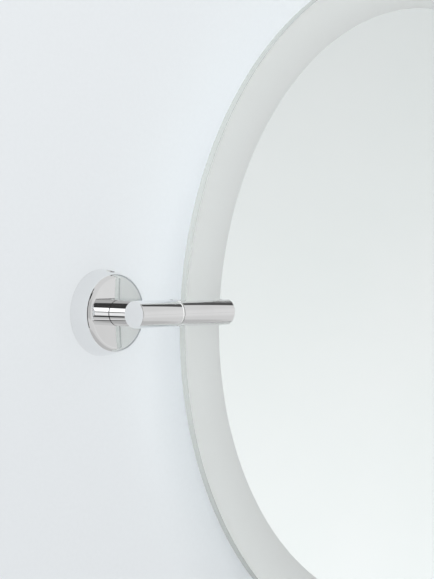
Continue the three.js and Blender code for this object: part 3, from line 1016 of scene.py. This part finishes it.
def one_sided_paint(name, tone):
    """Matt paint on the front. From behind it isn't there, so that the back of the mirror can be seen,
    and neither is it for what touches it, so that the backs of the wall plates aren't in the dark."""
    material, tree, shader = new_material(name)
    roller = noise(tree, 350, 3)
    low = tuple(value * 0.985 for value in tone)
    tree.links.new(two_tones(tree, to_range(tree, roller, 0, 1), low, tone), shader.inputs["Base Color"])
    shader.inputs["Roughness"].default_value = 0.85
    bump(tree, shader, roller, 0.05, 0.3 * MM)
    clear = node(tree, "ShaderNodeBsdfTransparent")
    side = node(tree, "ShaderNodeNewGeometry").outputs["Backfacing"]
    distance = node(tree, "ShaderNodeLightPath").outputs["Ray Length"]
    touching = math_node(tree, "LESS_THAN", distance, PAINT_CONTACT)
    mixed_surface(tree, math_node(tree, "MAXIMUM", side, touching), shader, clear)
    return material


def build_stage():
    upright = Matrix.Translation(WALL_PLACE) @ Matrix.Rotation(math.pi / 2, 4, "X")
    wall = plane("stage_wall", *WALL_SIZE, upright)
    wall.data.materials.append(one_sided_paint("wall_paint", (0.748, 0.778, 0.800)))
    wall.visible_shadow = False
    floor = plane("stage_floor", *FLOOR_SIZE, Matrix.Translation(FLOOR_PLACE))
    floor.data.materials.append(one_sided_paint("floor_paint", (0.78, 0.78, 0.77)))
    floor.visible_glossy = False
    floor.visible_diffuse = False


def add_lamp(name, data, towards):
    """Lamp that shines on the mirror from that direction and isn't seen in it."""
    lamp = linked(name, data)
    lamp.rotation_mode = "QUATERNION"
    lamp.rotation_quaternion = Vector(towards).to_track_quat("Z", "Y")
    lamp.visible_glossy = False
    lamp.visible_transmission = False
    return lamp


def sun(name, towards, strength, spread_degrees):
    """Soft distant light."""
    data = bpy.data.lights.new(name, "SUN")
    data.energy = strength
    data.angle = math.radians(spread_degrees)
    return add_lamp(name, data, towards)


def ceiling_light():
    """Wide soft light above the mirror, which leaves the lower wall a little darker."""
    data = bpy.data.lights.new("ceiling_light", "AREA")
    data.shape = "RECTANGLE"
    data.size = 2.0
    data.size_y = 1.0
    data.energy = 22
    place = (-1.4, -1.0, 1.5)
    lamp = add_lamp("ceiling_light", data, place)
    lamp.location = place
    lamp.visible_camera = False


def build_lights():
    sun("window_light", (-1.7, -0.7, 0.35), 4.3, 50)
    sun("low_fill", (-0.8, -0.6, -1.0), 0.3, 120)
    sun("right_fill", (1.4, -0.7, 0.3), 0.3, 90)
    sun("back_fill", (0.3, 1.0, 0.5), 1.4, 80)
    ceiling_light()


# ------------------------------------------------------------------ studio surroundings

def soft_step(tree, value, place, soft, start, end):
    """From the start to the end value, in a soft step at that place."""
    ends = (("From Min", place - soft), ("From Max", place + soft), ("To Min", start), ("To Max", end))
    made = node(tree, "ShaderNodeMapRange", {"interpolation_type": "SMOOTHSTEP"}, Value=value)
    set_inputs(tree, made, ends)
    return made.outputs["Result"]


def step_mask(tree, value, low, high, soft):
    """1 where the value lies between low and high, with soft ends."""
    rise = soft_step(tree, value, low, soft, 0, 1)
    fall = soft_step(tree, value, high, soft, 1, 0)
    return times(tree, rise, fall)


def times(tree, first, second):
    return math_node(tree, "MULTIPLY", first, second)


def above(tree, value, limit):
    """1 where the value is over the limit, otherwise 0."""
    return math_node(tree, "GREATER_THAN", value, limit)


# What polished metal mirrors: boxes of direction along X, Y and Z, each with a brightness and how
# soft its ends are. Later rows lie over earlier ones. -X is to the left along the wall, -Y is the
# room and +Z is up.
ALL = (-2.0, 2.0)
FRONT = (-2.0, 0.0)
LEFT = (-2.0, -0.1)
ALONG_WALL = (-0.29, -0.02)
SEEN_ONCE = (
    (ALL, FRONT, (-2.0, -0.35), 0.67, 0.15),  # low in the room
    (ALL, FRONT, (-2.0, -0.62), 0.52, 0.05),  # floor
    ((0.4, 2.0), FRONT, (-0.3, 0.3), 0.755, 0.15),  # light end of the room, to the right
    ((0.4, 2.0), FRONT, (-0.09, -0.037), 0.69, 0.01),  # thin shade across it
    ((-2.0, -0.3), FRONT, (-0.2, 0.45), 0.53, 0.04),  # dim end, to the left
    ((-2.0, -0.42), (-0.28, -0.02), (-0.6, 0.9), 0.02, 0.01),  # dark opening beside the wall
    ((-0.75, -0.45), (-0.48, -0.02), (0.42, 0.75), 0.03, 0.02),  # dark upper corner
    ((0.5, 0.9), ALONG_WALL, (0.3, 2.0), 0.08, 0.02),  # dark strip, up and to the right
)
# By way of another mirrored surface: light and dark bands on the left, patches elsewhere
SEEN_TWICE = (
    (ALL, FRONT, (-2.0, -0.67), 0.50, 0.02),
    (LEFT, FRONT, (-0.68, -0.64), 0.10, 0.01),
    (LEFT, FRONT, (-0.64, -0.58), 0.85, 0.01),
    (LEFT, FRONT, (-0.58, -0.42), 0.62, 0.01),
    (LEFT, FRONT, (-0.44, -0.28), 0.06, 0.02),
    (LEFT, FRONT, (-0.28, 0.05), 1.00, 0.02),
    (LEFT, FRONT, (0.05, 0.14), 0.08, 0.01),
    ((0.1, 2.0), FRONT, (0.03, 2.0), 0.50, 0.02),
    ((-2.0, 0.12), FRONT, (0.50, 0.80), 0.05, 0.02),
    ((0.66, 2.0), FRONT, (-0.05, 0.40), 0.15, 0.02),
    ((-0.85, -0.4), FRONT, (0.14, 0.49), 1.70, 0.02),
    (ALL, ALONG_WALL, (0.2, 2.0), 0.12, 0.02),
)
ROOM_ONCE = 0.69  # where no row of SEEN_ONCE lies
ROOM_TWICE = 0.66
BACKDROP = 0.80  # what the camera sees past the wall
AMBIENT = 0.25  # what lights matt surfaces
MIRROR_BOTTOM, MIRROR_TOP = 1.08, 0.755  # the room in the mirror is brighter low down
MIRROR_FALL = (-0.21, 0.06)
DARK_ABOVE, DARK_CEILING = 0.8, 0.08  # the ceiling that the bar mirrors by way of the mirror


def room_brightness(tree, parts, patches, base):
    """Brightness by direction: the base, with each patch over what was there."""
    value = node(tree, "ShaderNodeValue").outputs[0]
    value.default_value = base
    for x_range, y_range, z_range, brightness, soft in patches:
        mask = None
        for axis, limits in zip("XYZ", (x_range, y_range, z_range)):
            if limits == ALL:
                continue
            part = step_mask(tree, parts[axis], *limits, soft)
            mask = part if mask is None else times(tree, mask, part)
        value = choose(tree, mask, value, brightness)
    return value


def build_surroundings():
    """Even light for matt surfaces, and a painted room for what the chrome and the mirror reflect."""
    world = bpy.data.worlds.new("studio")
    bpy.context.scene.world = world
    world.use_nodes = True
    tree = world.node_tree
    background = tree.nodes["Background"]
    direction = node(tree, "ShaderNodeTexCoord").outputs["Generated"]
    parts = node(tree, "ShaderNodeSeparateXYZ", Vector=direction).outputs
    path = node(tree, "ShaderNodeLightPath").outputs
    twice = above(tree, path["Glossy Depth"], 1.5)
    glass = above(tree, path["Transmission Depth"], 0.5)
    mirrored = above(tree, path["Glossy Depth"], 0.5)
    once = room_brightness(tree, parts, SEEN_ONCE, ROOM_ONCE)
    again = room_brightness(tree, parts, SEEN_TWICE, ROOM_TWICE)
    in_metal = choose(tree, twice, once, again)
    falling = to_range(tree, parts["Z"], MIRROR_BOTTOM, MIRROR_TOP, *MIRROR_FALL)
    ceiling = times(tree, twice, above(tree, parts["Z"], DARK_ABOVE))
    in_glass = choose(tree, ceiling, falling, DARK_CEILING)
    in_room = choose(tree, mirrored, BACKDROP, in_metal)
    seen = choose(tree, glass, in_room, in_glass)
    matt = above(tree, path["Diffuse Depth"], 0.5)
    tree.links.new(choose(tree, matt, seen, AMBIENT), background.inputs["Strength"])
    background.inputs["Color"].default_value = (1, 1, 1, 1)


def build_camera():
    """Left of the mirror and level with it, looking along the wall at about 47 degrees."""
    yaw, pitch = math.radians(46.78), math.radians(1.47)
    data = bpy.data.cameras.new("camera")
    data.sensor_width = 36
    data.lens = 161.66
    camera = linked("camera", data)
    camera.location = (-1.4808, -1.2340, 0.0594)
    camera.rotation_euler = (math.pi / 2 - pitch, 0, -yaw)
    bpy.context.scene.camera = camera
    bpy.context.scene.view_settings.view_transform = "Standard"


build_stage()
build_lights()
build_surroundings()
build_camera()
